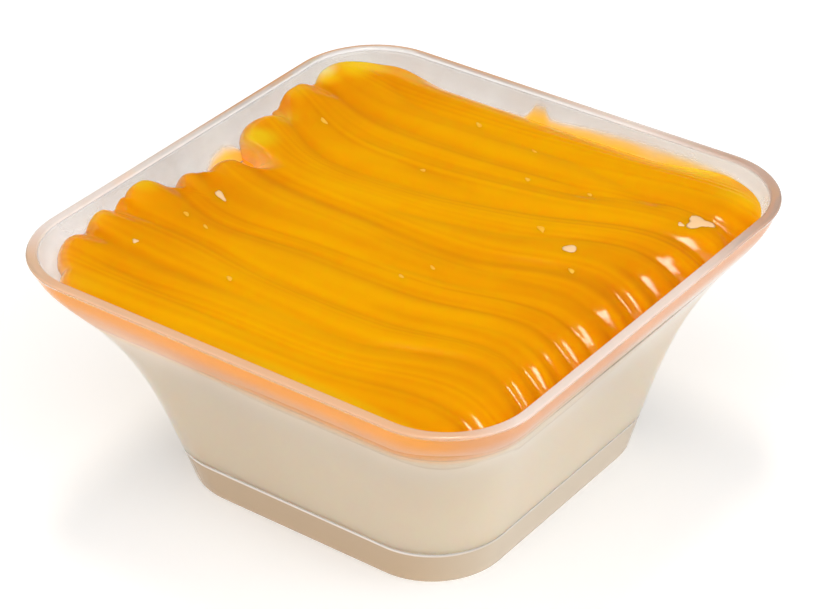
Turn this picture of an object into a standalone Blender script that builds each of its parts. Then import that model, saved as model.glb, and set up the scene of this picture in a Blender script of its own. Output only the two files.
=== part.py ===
"""Milk pudding in a square clear dessert cup, under a layer of piped mango jam.

All sizes are in metres. The cup stands on the plane z = 0 and is centred on the Z axis, and its
sides face +X, -X, +Y and -Y. The jam is piped in ropes that run along X, from rounded ends at the
-X wall to the +X wall.
"""

import math
from collections import namedtuple

import bmesh
import bpy
import numpy as np

# The cup: outer sizes
HEIGHT = 0.0434
RIM_HALF = 0.0460
RIM_CORNER = 0.0148
FOOT_HALF = 0.02895
FOOT_CORNER = 0.0126

# The cup's wall leans out by DRAFT for each unit of height, and by a flare that grows with the
# fourth power of the height. Above the knee the lip leans out by LIP_LEAN instead.
DRAFT = 0.234
FLARE = 0.0104
FLARE_POWER = 4
LIP_LEAN = 0.313
KNEE_BLEND = 0.0018

# The cup: plastic thicknesses, the rim and the floor over its hollow foot
WALL = 0.0012
RIM_WIDTH = 0.0018
RIM_EDGE = 0.0003
LIP_BLEND = 0.0040
FLOOR_UNDERSIDE = 0.0063
FLOOR_THICKNESS = 0.0010
FLOOR_FILLET = 0.0008
CORNER_STEPS = 8
WALL_STEPS = 15
LIP_STEPS = 6
FILLET_STEPS = 3

# The contents: what touches keeps GAP
GAP = 0.0003
PUDDING_BELOW_RIM = 0.0073
JAM_EDGE_THICKNESS = 0.0005
CROWN_BELOW_RIM = 0.0023
SWELL = 0.00025

# The jam's mesh
ROPE_ROWS = 84
ROPE_COLUMNS = 30
END_DENSITY = 0.4
SIDE_STEPS = 3

# The jam sinks towards the walls, and climbs the front one: how far, and over what distance
Sink = namedtuple("Sink", "depth reach")
SINK_FAR_ENDS = Sink(0.0026, 0.0090)
SINK_FRONT = Sink(-0.0008, 0.0035)
SINK_BACK = Sink(0.0026, 0.0060)

# Where the jam climbs the +Y wall: the middle along X, how far it reaches and the share of the sink
Climb = namedtuple("Climb", "x reach share")
CLIMBS = (Climb(-0.0356, 0.0122, 0.68), Climb(0.0300, 0.0150, 0.80))

# Each rope's rounded end at the -X wall: its centre, half its width, the X that its round end
# would reach if no wall stopped it, how far that end is rounded back at its sides, how much it
# leans towards +Y, and how far it is pushed up at the wall
RopeEnd = namedtuple("RopeEnd", "y half_width reach roundness lean rise")
ROPE_ENDS = (
    RopeEnd(-0.0379, 0.0052, -0.0386, 0.0062, 0.45, 0.0000),
    RopeEnd(-0.0316, 0.0064, -0.0444, 0.0062, 0.35, 0.0004),
    RopeEnd(-0.0233, 0.0060, -0.0460, 0.0027, 0.33, 0.0006),
    RopeEnd(-0.0139, 0.0045, -0.0469, 0.0056, 0.02, 0.0010),
    RopeEnd(-0.0065, 0.0031, -0.0424, 0.0033, 0.25, 0.0002),
    RopeEnd(0.0001, 0.0052, -0.0400, 0.0034, -0.10, 0.0007),
    RopeEnd(0.0138, 0.0058, -0.0449, 0.0059, 0.10, 0.0000),
    RopeEnd(0.0250, 0.0065, -0.0470, 0.0042, 0.08, 0.0006),
    RopeEnd(0.0367, 0.0075, -0.0460, 0.0052, -0.14, 0.0010),
)
OUTSIDE_LANE_SLOPE = 1.5
ROUND_OVER = 0.0036
RISE_REACH = 0.011
RISE_SPREAD = 1.5

# The grooves in which neighbouring ropes meet: Y at each of the stations along X, the depth, and
# the X where the groove begins and ends
STATIONS = (-0.040, -0.028, -0.010, 0.012, 0.032, 0.042)
Groove = namedtuple("Groove", "y depth begin end")
GROOVES = (
    Groove((-0.0315, -0.0335, -0.0355, -0.0360, -0.0340, -0.0378), 0.00030, -0.037, 0.048),
    Groove((-0.0280, -0.0289, -0.0285, -0.0284, -0.0232, -0.0275), 0.00034, -0.050, 0.048),
    Groove((-0.0200, -0.0198, -0.0220, -0.0215, -0.0186, -0.0228), 0.00038, -0.050, 0.048),
    Groove((-0.0180, -0.0180, -0.0180, -0.0182, -0.0142, -0.0182), 0.00030, 0.006, 0.048),
    Groove((-0.0096, -0.0138, -0.0130, -0.0131, -0.0106, -0.0146), 0.00038, -0.050, 0.048),
    Groove((-0.0036, -0.0102, -0.0103, -0.0078, -0.0065, -0.0098), 0.00030, -0.050, 0.048),
    Groove((0.0036, 0.0014, 0.0006, 0.0003, 0.0052, 0.0014), 0.00042, -0.050, 0.048),
    Groove((-0.0030, -0.0030, -0.0026, -0.0025, -0.0008, -0.0042), 0.00026, -0.006, 0.048),
    Groove((0.0060, 0.0052, 0.0046, 0.0084, 0.0164, 0.0140), 0.00034, -0.010, 0.048),
    Groove((0.0100, 0.0100, 0.0100, 0.0100, 0.0112, 0.0076), 0.00030, 0.028, 0.048),
    Groove((0.0192, 0.0124, 0.0115, 0.0158, 0.0226, 0.0216), 0.00036, -0.050, 0.048),
    Groove((0.0200, 0.0190, 0.0172, 0.0150, 0.0140, 0.0140), 0.00024, -0.016, 0.006),
    Groove((0.0240, 0.0212, 0.0207, 0.0239, 0.0310, 0.0288), 0.00028, -0.027, 0.048),
    Groove((0.0296, 0.0270, 0.0260, 0.0266, 0.0240, 0.0240), 0.00032, -0.050, 0.020),
    Groove((0.0440, 0.0352, 0.0330, 0.0325, 0.0290, 0.0290), 0.00028, -0.035, 0.030),
)
GROOVE_REACH = 0.0034
GROOVE_FADE = 0.005
DEEPER_AT_ENDS = 3.5
DEEPER_AT_ENDS_REACH = 0.011
DEEPER_AT_FAR_WALL = 3.0
DEEPER_AT_FAR_WALL_REACH = 0.016

# Where two ropes part beside the -X wall and the cream nearly shows
Pit = namedtuple("Pit", "x y reach_x reach_y depth")
PARTING = Pit(-0.0370, 0.0046, 0.0085, 0.0030, 0.0026)

# Worked out from the sizes above
PUDDING_TOP = HEIGHT - PUDDING_BELOW_RIM
JAM_BOTTOM = PUDDING_TOP + GAP
JAM_EDGE = JAM_BOTTOM + JAM_EDGE_THICKNESS
CROWN = HEIGHT - CROWN_BELOW_RIM
FLOOR_TOP = FLOOR_UNDERSIDE + FLOOR_THICKNESS


def new_collection(name):
    collection = bpy.data.collections.new(name)
    bpy.context.scene.collection.children.link(collection)
    return collection


def new_material(name, color, roughness, transmission=0.0, ior=1.45):
    material = bpy.data.materials.new(name)
    material.use_nodes = True
    shader = material.node_tree.nodes["Principled BSDF"]
    shader.inputs["Base Color"].default_value = (*color, 1.0)
    shader.inputs["Roughness"].default_value = roughness
    shader.inputs["Metallic"].default_value = 0.0
    shader.inputs["Transmission Weight"].default_value = transmission
    shader.inputs["IOR"].default_value = ior
    material.diffuse_color = (*color, 1.0)
    return material


def add_object(name, bm, material, collection):
    """Turns a closed bmesh into an object with outward faces and smooth round parts."""
    bmesh.ops.recalc_face_normals(bm, faces=bm.faces)
    mesh = bpy.data.meshes.new(name)
    bm.to_mesh(mesh)
    bm.free()
    mesh.materials.append(material)
    mesh.shade_smooth()
    mesh.set_sharp_from_angle(angle=math.radians(38))
    obj = bpy.data.objects.new(name, mesh)
    collection.objects.link(obj)
    return obj


# ---- The cup's profile ----


def outer_half(z):
    """Half the cup's outer width at height z: the flared wall, cut off by the lip."""
    flared = FOOT_HALF + DRAFT * z + FLARE * (z / HEIGHT) ** FLARE_POWER
    lip = RIM_HALF - LIP_LEAN * (HEIGHT - z)
    overlap = max(KNEE_BLEND - abs(flared - lip), 0.0) / KNEE_BLEND
    return min(flared, lip) - overlap**2 * KNEE_BLEND / 4


def outer_corner(z):
    return FOOT_CORNER + (RIM_CORNER - FOOT_CORNER) * z / HEIGHT


def wall_width(z):
    """The wall's width measured level: more where it leans, and RIM_WIDTH at the rim."""
    step = 1e-5
    lean = (outer_half(z) - outer_half(z - step)) / step
    leaning = WALL * math.hypot(1.0, lean)
    towards_rim = max(0.0, 1.0 - (HEIGHT - z) / LIP_BLEND)
    return leaning + (RIM_WIDTH - leaning) * towards_rim


def inner_half(z):
    return outer_half(z) - wall_width(z)


def inner_corner(z):
    return outer_corner(z) - wall_width(z)


def heights(low, high, steps):
    return [low + (high - low) * step / steps for step in range(steps + 1)]


def wall_heights(low, high):
    """Heights between low and high, closer together round the knee and up the lip."""
    knee = HEIGHT - 0.0062
    spread = heights(0.0, knee, WALL_STEPS) + heights(knee, HEIGHT - RIM_EDGE, LIP_STEPS)
    between = sorted({round(z, 6) for z in spread if low + 0.0004 < z < high - 0.0004})
    return [low, *between, high]


# ---- Lofts of rounded squares ----


def rounded_square(half, corner, z):
    """Points of a square with round corners, level at height z."""
    straight = half - corner
    points = []
    for quarter in range(4):
        middle = math.radians(45 + 90 * quarter)
        centre_x = math.copysign(straight, math.cos(middle))
        centre_y = math.copysign(straight, math.sin(middle))
        for step in range(CORNER_STEPS + 1):
            angle = math.radians(90 * quarter + 90 * step / CORNER_STEPS)
            x = centre_x + corner * math.cos(angle)
            y = centre_y + corner * math.sin(angle)
            points.append((x, y, z))
    return points


def loft(sections):
    """A closed solid through rounded squares, each given as (half, corner, z)."""
    bm = bmesh.new()
    rings = [[bm.verts.new(point) for point in rounded_square(*section)] for section in sections]
    for ring, following in zip(rings, rings[1:]):
        for index in range(len(ring)):
            nearby = (index + 1) % len(ring)
            bm.faces.new((ring[index], ring[nearby], following[nearby], following[index]))
    bm.faces.new(rings[0])
    bm.faces.new(rings[-1])
    return bm


def fillet(half_at, corner_at, floor, radius, inset):
    """Sections that round the foot of an inner wall off into a floor, from the wall inwards."""
    sections = []
    for step in range(FILLET_STEPS + 1):
        angle = math.radians(90 * step / FILLET_STEPS)
        z = floor + radius * (1.0 - math.sin(angle))
        taken_in = inset + radius * (1.0 - math.cos(angle))
        sections.append((half_at(z) - taken_in, corner_at(z) - taken_in, z))
    return sections


def make_cup(collection):
    """One shell: under the floor, down inside the foot, up the outside, over the rim, down inside."""
    rim_inner = RIM_HALF - RIM_WIDTH
    sections = [
        (inner_half(FLOOR_UNDERSIDE), inner_corner(FLOOR_UNDERSIDE), FLOOR_UNDERSIDE),
        (inner_half(0.0), inner_corner(0.0), 0.0),
    ]
    for z in wall_heights(0.0, HEIGHT - RIM_EDGE):
        sections.append((outer_half(z), outer_corner(z), z))
    sections.append((RIM_HALF - RIM_EDGE, RIM_CORNER - RIM_EDGE, HEIGHT))
    sections.append((rim_inner + RIM_EDGE, RIM_CORNER - RIM_WIDTH + RIM_EDGE, HEIGHT))
    for z in reversed(wall_heights(FLOOR_TOP + FLOOR_FILLET, HEIGHT - RIM_EDGE)[1:]):
        sections.append((inner_half(z), inner_corner(z), z))
    sections += fillet(inner_half, inner_corner, FLOOR_TOP, FLOOR_FILLET, 0.0)
    clear = new_material("clear_plastic", (0.93, 0.91, 0.88), 0.08, transmission=0.9, ior=1.49)
    return add_object("cup", loft(sections), clear, collection)


def make_pudding(collection):
    """The pudding fills the cup from its floor up to a level top."""
    sections = list(reversed(fillet(inner_half, inner_corner, FLOOR_TOP + GAP, FLOOR_FILLET, GAP)))
    for z in wall_heights(FLOOR_TOP + GAP + FLOOR_FILLET, PUDDING_TOP)[1:]:
        sections.append((inner_half(z) - GAP, inner_corner(z) - GAP, z))
    milky = new_material("milk_pudding", (0.82, 0.74, 0.63), 0.35)
    return add_object("milk_pudding", loft(sections), milky, collection)


# ---- The piped jam ----


def keep_inside(x, y, z):
    """Moves a point at height z that is past the cup's inner wall, less the gap, onto it."""
    corner = inner_corner(z) - GAP
    straight = inner_half(z) - GAP - corner
    past_x = max(abs(x) - straight, 0.0)
    past_y = max(abs(y) - straight, 0.0)
    past = math.hypot(past_x, past_y)
    if past <= corner:
        return x, y
    scale = corner / past
    near_x = min(abs(x), straight) + past_x * scale
    near_y = min(abs(y), straight) + past_y * scale
    return math.copysign(near_x, x), math.copysign(near_y, y)


def along_stations(x, values):
    """A smooth curve through one value at each station."""
    slopes = np.gradient(np.array(values), np.array(STATIONS))
    place = np.clip(np.searchsorted(STATIONS, x) - 1, 0, len(STATIONS) - 2)
    start = np.array(STATIONS)[place]
    length = np.array(STATIONS)[place + 1] - start
    t = np.clip((x - start) / length, -0.5, 1.5)
    low = np.array(values)[place]
    high = np.array(values)[place + 1]
    return (
        low * (1 + 2 * t) * (1 - t) ** 2
        + high * t**2 * (3 - 2 * t)
        + slopes[place] * length * t * (1 - t) ** 2
        - slopes[place + 1] * length * t**2 * (1 - t)
    )


def ease(value):
    value = np.clip(value, 0.0, 1.0)
    return value * value * (3 - 2 * value)


def rope_start(end, y):
    """The X where a rope's round end begins at each y, further back beside the rope."""
    across = np.abs(y - end.y) / end.half_width
    beside = np.maximum(across - 1.0, 0.0) * end.half_width * OUTSIDE_LANE_SLOPE
    rounded = 1.0 - np.sqrt(1.0 - np.minimum(across, 1.0) ** 2)
    leaned = end.lean * np.clip(y - end.y, -end.half_width, end.half_width)
    return end.reach + end.roundness * rounded + beside - leaned


def rope_fullness(x, y):
    """How much of the ropes' height is reached: 0 outside their round ends, 1 behind them."""
    fullness = np.zeros_like(x)
    for end in ROPE_ENDS:
        depth_in = np.clip((x - rope_start(end, y)) / ROUND_OVER, 0.0, 1.0)
        fullness = np.maximum(fullness, np.sqrt(1.0 - (1.0 - depth_in) ** 2))
    return fullness


def groove_depth(x, y):
    """How far the grooves between the ropes cut in."""
    near_ends = ease(1.0 - (x + RIM_HALF) / DEEPER_AT_ENDS_REACH)
    near_far_wall = ease(1.0 - (RIM_HALF - x) / DEEPER_AT_FAR_WALL_REACH)
    deeper = 1.0 + DEEPER_AT_ENDS * near_ends + DEEPER_AT_FAR_WALL * near_far_wall
    cut = np.zeros_like(x)
    for groove in GROOVES:
        present = ease((x - groove.begin) / GROOVE_FADE) * ease((groove.end - x) / GROOVE_FADE)
        across = np.abs(y - along_stations(x, groove.y)) / GROOVE_REACH
        cut = cut + groove.depth * present * np.clip(1.0 - across, 0.0, 1.0) ** 2
    return cut * deeper


def sink_to_wall(distance, sink):
    return sink.depth * np.clip(1.0 - distance / sink.reach, 0.0, 1.0) ** 2


def jam_height(x, y):
    """Height of the jam's upper surface over each x and y."""
    wall = inner_half(CROWN)
    swell = SWELL * np.sin(x / 0.013 + y / 0.031) * np.cos(y / 0.017 - 0.6)
    parted = PARTING.depth * ease(
        1.0 - np.hypot((x - PARTING.x) / PARTING.reach_x, (y - PARTING.y) / PARTING.reach_y)
    )
    full = CROWN + swell - groove_depth(x, y) - parted
    full = full - sink_to_wall(wall - x, SINK_FAR_ENDS)
    full = full - sink_to_wall(wall + y, SINK_FRONT)
    kept = 1.0
    for climb in CLIMBS:
        kept = kept - climb.share * ease(1.0 - np.abs(x - climb.x) / climb.reach)
    full = full - sink_to_wall(wall - y, SINK_BACK) * kept
    for end in ROPE_ENDS:
        beside = (y - end.y) / (end.half_width * RISE_SPREAD)
        full = full + end.rise * ease(1.0 - np.hypot((x - end.reach) / RISE_REACH, beside))
    return JAM_EDGE + (full - JAM_EDGE) * rope_fullness(x, y)


def dense_at_ends(t):
    """Maps -1..1 onto itself with its steps closer together towards both ends."""
    return (1.0 - END_DENSITY) * t + END_DENSITY * math.sin(t * math.pi / 2)


def jam_place(across, along):
    """The (x, y) of a point of the jam's grid, each coordinate of which runs from -1 to 1."""
    half = inner_half(CROWN) - GAP
    corner = inner_corner(CROWN) - GAP
    y = half * dense_at_ends(along)
    into_corner = max(abs(y) - (half - corner), 0.0)
    wall_x = half - corner + math.sqrt(max(corner**2 - into_corner**2, 0.0))
    ends = min(float(rope_start(end, y)) for end in ROPE_ENDS)
    start_x = max(ends, -wall_x)
    share = (dense_at_ends(across) + 1.0) / 2
    return start_x + (wall_x - start_x) * share, y


def make_jam(collection):
    """A grid shaped into the ropes, with its rim drawn down the cup's wall and closed below."""
    bm = bmesh.new()
    bmesh.ops.create_grid(bm, x_segments=ROPE_COLUMNS, y_segments=ROPE_ROWS, size=1.0)
    for vert in bm.verts:
        x, y = jam_place(vert.co.x, vert.co.y)
        z = float(jam_height(np.array(x), np.array(y)))
        vert.co = (*keep_inside(x, y, z), z)
    for left in range(SIDE_STEPS, 0, -1):
        rim = [edge for edge in bm.edges if edge.is_boundary]
        drawn = bmesh.ops.extrude_edge_only(bm, edges=rim)["geom"]
        for vert in drawn:
            if isinstance(vert, bmesh.types.BMVert):
                z = vert.co.z + (JAM_BOTTOM - vert.co.z) / left
                vert.co = (*keep_inside(vert.co.x, vert.co.y, z), z)
    rim = [edge for edge in bm.edges if edge.is_boundary]
    underside = bmesh.ops.contextual_create(bm, geom=rim)["faces"]
    bmesh.ops.triangulate(bm, faces=underside)
    amber = new_material("mango_jam", (0.88, 0.36, 0.004), 0.12)
    return add_object("mango_jam", bm, amber, collection)


def main():
    for obj in list(bpy.data.objects):
        bpy.data.objects.remove(obj, do_unlink=True)
    collection = new_collection("milk_pudding_in_cup")
    make_cup(collection)
    make_pudding(collection)
    make_jam(collection)


main()
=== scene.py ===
"""The looks of a milk pudding in a clear cup: thin plastic, set cream and glossy ropes of mango jam.

All sizes are in metres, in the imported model's frame: the cup stands on z = 0, centred on the Z axis,
its sides face +X, -X, +Y and -Y, and the ropes of jam run along X from rounded ends at the -X wall.
"""

import math
from collections import namedtuple

import bpy
import numpy as np
from mathutils import Matrix, Vector


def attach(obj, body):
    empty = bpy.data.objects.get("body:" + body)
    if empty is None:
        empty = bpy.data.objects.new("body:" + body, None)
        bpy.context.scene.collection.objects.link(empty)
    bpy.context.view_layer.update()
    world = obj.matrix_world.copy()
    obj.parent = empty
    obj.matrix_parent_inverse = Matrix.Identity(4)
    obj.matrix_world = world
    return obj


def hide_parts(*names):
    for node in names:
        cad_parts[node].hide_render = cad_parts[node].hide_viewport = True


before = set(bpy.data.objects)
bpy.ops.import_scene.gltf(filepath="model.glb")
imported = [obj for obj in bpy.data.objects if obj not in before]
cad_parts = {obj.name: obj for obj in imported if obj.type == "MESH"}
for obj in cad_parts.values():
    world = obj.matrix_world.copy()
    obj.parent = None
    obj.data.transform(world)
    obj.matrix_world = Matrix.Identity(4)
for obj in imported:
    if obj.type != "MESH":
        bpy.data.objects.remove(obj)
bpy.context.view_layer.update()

# ---- Sizes of the cup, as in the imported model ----

HEIGHT = 0.0434
RIM_HALF = 0.0460
RIM_CORNER = 0.0148
FOOT_HALF = 0.02895
FOOT_CORNER = 0.0126
DRAFT = 0.234
FLARE = 0.0104
FLARE_POWER = 4
LIP_LEAN = 0.313
KNEE_BLEND = 0.0018
WALL = 0.0012
RIM_WIDTH = 0.0018
RIM_ROUND = 0.0004
LIP_BLEND = 0.0040
FLOOR_UNDERSIDE = 0.0063
FLOOR_THICKNESS = 0.0010
FLOOR_FILLET = 0.0008
FOOT_EDGE = 0.00035
MIDDLE_SHARE = 0.25
FLOOR_TOP = FLOOR_UNDERSIDE + FLOOR_THICKNESS
PUDDING_FILLET = 0.0004

# ---- Sizes of the contents ----

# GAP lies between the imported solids. Here each piece reaches into its neighbour instead, by
# INTO_WALL or JAM_SUNK. CRISP keeps the shading sharp at an edge.
PUDDING_BELOW_RIM = 0.0073
JAM_EDGE_THICKNESS = 0.0005
CROWN_BELOW_RIM = 0.0023
# How far under the jam the cream is stained and lightened by painted light
JAM_STAIN_AND_LIGHT = 0.0031
GAP = 0.0003
INTO_WALL = 0.0002
JAM_SUNK = 0.0006
CRISP = 0.00005
PUDDING_TOP = HEIGHT - PUDDING_BELOW_RIM
JAM_EDGE = PUDDING_TOP + GAP + JAM_EDGE_THICKNESS
CROWN = HEIGHT - CROWN_BELOW_RIM

# Slow waves in the jam's height
Swell = namedtuple("Swell", "height along slant across shift")
SWELL = Swell(0.00025, 0.013, 0.031, 0.017, 0.6)

# How far the jam sinks, or climbs where it is below zero, towards a wall
Sink = namedtuple("Sink", "depth reach")
SINK_FAR_ENDS = Sink(0.0026, 0.0090)
SINK_FRONT = Sink(-0.0008, 0.0035)
SINK_BACK = Sink(0.0026, 0.0060)

# Where the jam climbs the +Y wall: the middle along X, how far it reaches and the share of the sink
Climb = namedtuple("Climb", "x reach share")
CLIMBS = (Climb(-0.0356, 0.0122, 0.68), Climb(0.0300, 0.0150, 0.80))

# The ropes' round ends: the middle and half the width along Y, the X that they reach, how far
# they round off, how they lean and how they rise
RopeEnd = namedtuple("RopeEnd", "y half_width reach roundness lean rise")
ROPE_ENDS = (
    RopeEnd(-0.0379, 0.0052, -0.0386, 0.0062, 0.45, 0.0000),
    RopeEnd(-0.0316, 0.0064, -0.0444, 0.0062, 0.35, 0.0004),
    RopeEnd(-0.0233, 0.0060, -0.0460, 0.0027, 0.33, 0.0006),
    RopeEnd(-0.0139, 0.0045, -0.0469, 0.0056, 0.02, 0.0010),
    RopeEnd(-0.0065, 0.0031, -0.0424, 0.0033, 0.25, 0.0002),
    RopeEnd(0.0001, 0.0052, -0.0400, 0.0034, -0.10, 0.0007),
    RopeEnd(0.0138, 0.0058, -0.0449, 0.0059, 0.10, 0.0000),
    RopeEnd(0.0250, 0.0065, -0.0470, 0.0042, 0.08, 0.0006),
    RopeEnd(0.0367, 0.0075, -0.0460, 0.0052, -0.14, 0.0010),
)
OUTSIDE_LANE_SLOPE = 1.5
ROUND_OVER = 0.0036
RISE_REACH = 0.011
RISE_SPREAD = 1.5

# The grooves between the ropes: Y at each station along X, depth, and X at both ends
STATIONS = (-0.040, -0.028, -0.010, 0.012, 0.032, 0.042)
Groove = namedtuple("Groove", "y depth begin end")
GROOVES = (
    Groove((-0.0315, -0.0335, -0.0355, -0.0360, -0.0340, -0.0378), 0.00030, -0.037, 0.048),
    Groove((-0.0280, -0.0289, -0.0285, -0.0284, -0.0232, -0.0275), 0.00034, -0.050, 0.048),
    Groove((-0.0200, -0.0198, -0.0220, -0.0215, -0.0186, -0.0228), 0.00038, -0.050, 0.048),
    Groove((-0.0180, -0.0180, -0.0180, -0.0182, -0.0142, -0.0182), 0.00030, 0.006, 0.048),
    Groove((-0.0096, -0.0138, -0.0130, -0.0131, -0.0106, -0.0146), 0.00038, -0.050, 0.048),
    Groove((-0.0036, -0.0102, -0.0103, -0.0078, -0.0065, -0.0098), 0.00030, -0.050, 0.048),
    Groove((0.0036, 0.0014, 0.0006, 0.0003, 0.0052, 0.0014), 0.00042, -0.050, 0.048),
    Groove((-0.0030, -0.0030, -0.0026, -0.0025, -0.0008, -0.0042), 0.00026, -0.006, 0.048),
    Groove((0.0060, 0.0052, 0.0046, 0.0084, 0.0164, 0.0140), 0.00034, -0.010, 0.048),
    Groove((0.0100, 0.0100, 0.0100, 0.0100, 0.0112, 0.0076), 0.00030, 0.028, 0.048),
    Groove((0.0192, 0.0124, 0.0115, 0.0158, 0.0226, 0.0216), 0.00036, -0.050, 0.048),
    Groove((0.0200, 0.0190, 0.0172, 0.0150, 0.0140, 0.0140), 0.00024, -0.016, 0.006),
    Groove((0.0240, 0.0212, 0.0207, 0.0239, 0.0310, 0.0288), 0.00028, -0.027, 0.048),
    Groove((0.0296, 0.0270, 0.0260, 0.0266, 0.0240, 0.0240), 0.00032, -0.050, 0.020),
    Groove((0.0440, 0.0352, 0.0330, 0.0325, 0.0290, 0.0290), 0.00028, -0.035, 0.030),
)
THROUGH_GROOVES = (1, 2, 4, 6, 10)
GROOVE_REACH = 0.0034
GROOVE_FADE = 0.005
GROOVE_ROUND = 0.10
DEEPER_AT_ENDS = 3.5
DEEPER_AT_ENDS_REACH = 0.011
DEEPER_AT_FAR_WALL = 3.0
DEEPER_AT_FAR_WALL_REACH = 0.016

# Where two ropes part beside the -X wall and the cream nearly shows
Pit = namedtuple("Pit", "x y reach_x reach_y depth")
PARTING = Pit(-0.0370, 0.0046, 0.0085, 0.0030, 0.0026)

# Fine lines drawn along the ropes: how deep, how far apart and how long
Lines = namedtuple("Lines", "depth spacing length seed")
BROAD_LINES = Lines(0.00009, 0.0034, 0.024, 5)
FINE_LINES = Lines(0.00001, 0.0012, 0.015, 11)

# Where the jam lies thin and yellow: centre, reach each way and strength
Patch = namedtuple("Patch", "x y reach_x reach_y strength")
YELLOW_PATCHES = (
    Patch(-0.0440, -0.0130, 0.0050, 0.0035, 0.8),
    Patch(-0.0435, -0.0240, 0.0040, 0.0050, 0.45),
    Patch(-0.0385, 0.0100, 0.0055, 0.0042, 1.2),
    Patch(-0.0400, 0.0180, 0.0050, 0.0040, 0.4),
    Patch(-0.0430, 0.0260, 0.0035, 0.0045, 0.4),
    Patch(-0.0425, 0.0325, 0.0045, 0.0028, 1.3),
    Patch(-0.0385, 0.0400, 0.0060, 0.0035, 0.9),
    Patch(-0.0400, 0.0368, 0.0050, 0.0036, 1.0),
    Patch(-0.0300, 0.0415, 0.0060, 0.0020, 0.5),
    # These three along the +Y wall are partly thin jam and partly painted light on the shaded slope
    # down to that wall
    Patch(0.0370, 0.0390, 0.0090, 0.0050, 0.6),
    Patch(0.0250, 0.0425, 0.0120, 0.0036, 1.1),
    Patch(0.0100, 0.0430, 0.0100, 0.0024, 0.7),
    Patch(0.0150, -0.0415, 0.0300, 0.0022, 0.6),
    Patch(-0.0330, -0.0400, 0.0100, 0.0040, 0.3),
)

# Where the cream shows pale through the last rope's end
PALE_PATCH = Patch(-0.0446, 0.0338, 0.0042, 0.0036, 1.2)

# Bubbles in the jam, pale as painted glints: place, length along its own axis, width, 1 for a white
# one and how far its outline is from round
Bubble = namedtuple("Bubble", "x y length width white wobble")
BUBBLES = (
    Bubble(0.0235, 0.0102, 0.0022, 0.0022, 1, 0.10),
    Bubble(0.0165, 0.0125, 0.0020, 0.0010, 0, 0.15),
    Bubble(0.0270, 0.0055, 0.0014, 0.0007, 0, 0.15),
    Bubble(-0.0110, 0.0340, 0.0016, 0.0007, 0, 0.10),
    Bubble(0.0015, 0.0320, 0.0014, 0.0006, 0, 0.10),
    Bubble(-0.0330, 0.0205, 0.0024, 0.0007, 0, 0.15),
    Bubble(-0.0315, -0.0078, 0.0036, 0.0010, 1, 0.20),
    Bubble(-0.0320, -0.0155, 0.0016, 0.0007, 0, 0.10),
    Bubble(-0.0140, -0.0263, 0.0014, 0.0007, 0, 0.10),
    Bubble(-0.0332, -0.0262, 0.0012, 0.0009, 1, 0.20),
    Bubble(0.0093, -0.0060, 0.0013, 0.0005, 0, 0.10),
    Bubble(0.0068, -0.0106, 0.0013, 0.0006, 0, 0.10),
    Bubble(-0.0270, -0.0167, 0.0015, 0.0005, 0, 0.10),
    Bubble(-0.0098, 0.0170, 0.0010, 0.0008, 0, 0.10),
    Bubble(0.0165, 0.0260, 0.0012, 0.0006, 0, 0.10),
    Bubble(0.0060, 0.0238, 0.0012, 0.0007, 0, 0.10),
    Bubble(0.0352, 0.0286, 0.0036, 0.0042, 1, 0.30),
    Bubble(0.0334, 0.0262, 0.0013, 0.0008, 1, 0.20),
)
BUBBLE_AXIS = math.radians(-28)
BUBBLE_RISE = 0.00012

# How dark the jam is: its own tone everywhere, painted shade added in grooves and towards the ends,
# and its own tone by the lines
Tone = namedtuple("Tone", "base grooves ends broad_lines fine_lines")
TONE = Tone(0.24, 0.22, 0.30, 0.30, 0.03)
FULL_TONE_GROOVE = 0.0005
LIGHT_MIDDLE = 0.001
LIGHT_REACH = 0.012
DEEPENING_REACH = 0.028

# How pale the jam is where it lies thin, and how much it glows, which is painted light: beside the
# ropes' ends, on their fringe, where they part and along the +Y wall
Shares = namedtuple("Shares", "beside fringe parted wall")
THIN = Shares(0.6, 0.5, 1.2, 0.0)
GLOW = Shares(0.0, 0.18, 0.36, 0.42)
FRINGE_WIDTH = 0.0014
FRINGE_UP_TO = 0.6
# The outline is painted shade: a dark edge round the ropes' ends, on their +Y side
OUTLINE_WIDTH = 0.0008
OUTLINE_FROM = -0.5
WALL_EDGE_WIDTH = 0.0012
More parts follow.
